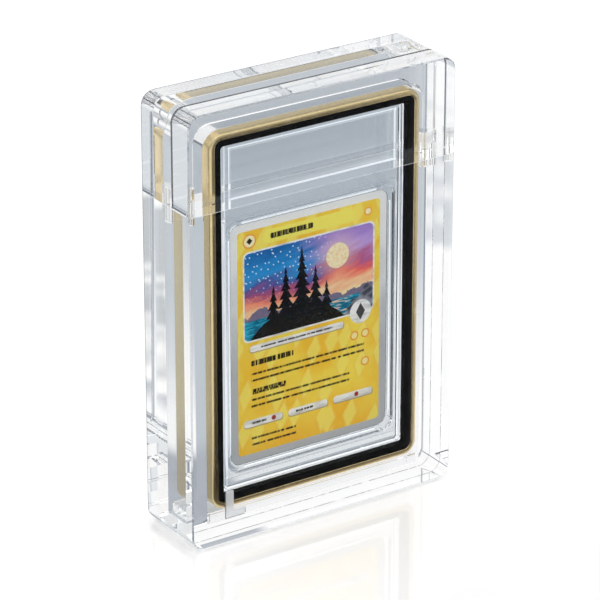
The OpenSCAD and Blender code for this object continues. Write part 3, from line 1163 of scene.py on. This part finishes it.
slab_outline = outline(slab_low.x, slab_low.z, slab_high.x, slab_high.z, (1,) * 4, 6)
settle(front_shell(), SLAB_CLEAR, "slab_set", "slab_plastic", "slab_front_shell")
settle(rear_shell(), SLAB_CLEAR, "slab_set", "slab_plastic", "slab_rear_shell")
settle(holder(), SLAB_CLEAR, "slab_set", "slab_plastic", "card_holder")

# The card
card_outline = outline(card_low.x, card_low.z, card_high.x, card_high.z, (3,) * 4)
printed_card = stack("printed_card", card_outline, plate_levels(card_low.y, card_high.y, 0.04))
settle(printed_card, CARD_PRINT, "slab_set", "card_print", "card")

# The magnets
for name, body, low, nodes in (
    ("body_magnets", "case_body", SEAM - MAGNET_GAP - MAGNET_L, ("body_magnet_left", "body_magnet_right")),
    ("lid_magnets", "lid", SEAM + MAGNET_GAP, ("lid_magnet_left", "lid_magnet_right")),
):
    pair = rods.build(
        name, SHARP, Radius=MAGNET_D / 2, Length=MAGNET_L, Bevel=0.3, Spread=MAGNET_X, Sides=64,
        Centre=(0.0, MAGNET_Y, low + MAGNET_L / 2),
    )
    settle(pair, NICKEL, body, "magnet_nickel", *nodes)


# The studio
WHITE = (1, 1, 1)
DARK = (0.10, 0.11, 0.125)


def behind_glass(rays):
    """1 for a ray that has met glass or metal, and nothing matt."""
    return rays["Is Glossy Ray"].most(rays["Is Transmission Ray"]) * (rays["Diffuse Depth"] < 0.5)


def make_floor():
    """A white floor to the eye. Glass and metal see the studio's grey and dark cards lying on it."""
    paint = bpy.data.materials.new("floor_paint")
    shade = Shade(paint)
    rays = shade.node("ShaderNodeLightPath")
    sockets = {"Base Color": (0.93, 0.93, 0.93), "Roughness": 0.02, "Specular IOR Level": 1.0}
    gloss = shade.node("ShaderNodeBsdfPrincipled", {}, sockets).link()
    lift = shade.emission(WHITE, rays["Is Camera Ray"] * 0.09)
    white = shade.node("ShaderNodeAddShader", {}, {0: gloss, 1: lift}).link()
    x, y, _ = shade.place()
    coords = shade.coords()
    mirrored = rays["Glossy Depth"] > 0.5

    # Behind the case: grey far back and on the right, a white lane with soft patches, grey on the left
    lane = abs(x + y * 0.8 - 57)
    patches = shade.noise(coords, 14.0).ramp(0.5, 0.62) * 0.75
    far = y.ramp(35, 190) * lane.ramp(25, 60).most(patches)
    behind = shade.mix((1.05, 1.05, 1.05), (0.57, 0.615, 0.665), far)
    behind = shade.mix(behind, (0.53, 0.58, 0.63), (-x - y * 0.6 - 29).ramp(-8, 4))
    corner = (-x).ramp(8, 16) * y.ramp(8, 20) * y.ramp(75, 55)
    behind = shade.mix(behind, (0.42, 0.45, 0.50), corner)

    # Before the case: white with grey clouds on the right, and a dark card that only its face mirrors
    clouds = shade.noise(coords, 24.0).ramp(0.42, 0.6) * x.ramp(58, 70) * 0.9
    before = shade.mix((1.1, 1.1, 1.1), (0.5, 0.54, 0.58), clouds)
    ahead = -y - 15
    long_way = ahead.ramp(0, 14) * (ahead - 40).ramp(460, 400)
    cross_way = (x - ahead * 0.66).ramp(-120, -75) * (x - ahead * 0.71).ramp(52, 41)
    once = mirrored * (rays["Glossy Depth"] < 1.5)
    before = shade.mix(before, (0.02, 0.021, 0.022), long_way * cross_way * once)

    # Dark strips far out on both sides
    cards = shade.mix(before, behind, y.ramp(-1, 1))
    strips = (abs(y + 15) - abs(x) * 0.13).ramp(20, 0) * abs(x).ramp(150, 250)
    cards = shade.mix(cards, DARK, strips * mirrored)
    shade.end(shade.blend(white, shade.emission(cards), behind_glass(rays)))
    return paint


def make_screen():
    """A grey screen that only glass and metal see. It keeps the seam from shining."""
    cloth = bpy.data.materials.new("grey_screen")
    shade = Shade(cloth)
    x, _, z = shade.place()
    air = shade.node("ShaderNodeBsdfTransparent", {}, {"Color": WHITE}).link()
    seen = behind_glass(shade.node("ShaderNodeLightPath")) * z.ramp(175, 195) * x.ramp(60, 90)
    shade.end(shade.blend(air, shade.emission((0.45, 0.49, 0.54)), seen))
    return cloth


def make_world():
    """A plain white world. Glass and metal see a white back wall, a greyer front wall and a pale ceiling."""
    world = bpy.data.worlds.new("studio")
    sky = Shade(world)
    rays = sky.node("ShaderNodeLightPath")
    generated = sky.node("ShaderNodeTexCoord").link("Generated")
    direction = sky.node("ShaderNodeSeparateXYZ", {}, {0: generated})
    y, z = direction[1], direction[2]
    mirrored = rays["Glossy Depth"] > 0.5
    front_wall = (-y).ramp(0.3, 0.8) * (0.9 - z).ramp(0.2, 0.7)
    tone = sky.mix((1.02, 1.02, 1.02), (0.62, 0.66, 0.70), front_wall)
    ceiling = z.ramp(0.58, 0.66) * (-y).ramp(-0.1, 0.1)
    tone = sky.mix(tone, (1.6, 1.6, 1.6), ceiling)
    side_strips = abs(y + 0.1).ramp(0.2, 0.13) * z.ramp(0.85, 0.75)
    tone = sky.mix(tone, DARK, side_strips * mirrored)
    tone = sky.mix(tone, (0.25, 0.27, 0.30), abs(z).ramp(0.1, 0.05) * mirrored)

    # Here Ray Depth counts one more than the surfaces met, so a mirror on the floor stays white
    room = sky.node("ShaderNodeBackground", {}, {"Color": tone, "Strength": 1.0}).link()
    strength = rays["Is Diffuse Ray"] * 0.12 + 1.0
    plain = sky.node("ShaderNodeBackground", {}, {"Color": WHITE, "Strength": strength}).link()
    seen = behind_glass(rays) * (rays["Ray Depth"] > 2.5)
    sky.node("ShaderNodeOutputWorld", {}, {0: sky.blend(plain, room, seen)})
    return world


floor = to_object(lambda bm: bmesh.ops.create_grid(bm, x_segments=1, y_segments=1, size=2.0), "floor")
floor.data.materials.append(make_floor())
floor.location.z = -0.0003

sheet_corners = [(50, 200, 160), (900, 200, 160), (900, 200, 900), (50, 200, 900)]
screen = to_object(lambda bm: bm.faces.new(add_rings(bm, [sheet_corners])[0]), "screen")
screen.data.materials.append(make_screen())

bpy.context.scene.world = make_world()

# The camera, fitted to the photograph. Its focal length is in pixels of a picture 600 wide
TARGET = Vector((0, 0, 0.07496))
AZIMUTH = math.radians(-33.48)
ELEVATION = math.radians(23.97)
DISTANCE = 1.27427
FOCAL = 3753.3
PICTURE_W = 600
level = math.cos(ELEVATION)
away = Vector((math.sin(AZIMUTH) * level, -math.cos(AZIMUTH) * level, math.sin(ELEVATION)))
lens = bpy.data.cameras.new("camera")
lens.sensor_width = 36
lens.lens = lens.sensor_width * FOCAL / PICTURE_W
lens.clip_end = 20
camera = bpy.data.objects.new("camera", lens)
bpy.context.scene.collection.objects.link(camera)
camera.location = TARGET + away * DISTANCE
camera.rotation_euler = (-away).to_track_quat("-Z", "Y").to_euler()

scene = bpy.context.scene
scene.camera = camera
scene.view_settings.view_transform = "Standard"
scene.cycles.use_denoising = True
scene.cycles.blur_glossy = 0
scene.cycles.max_bounces = 96
scene.cycles.transmission_bounces = 64
scene.cycles.glossy_bounces = 80
scene.cycles.transparent_max_bounces = 16
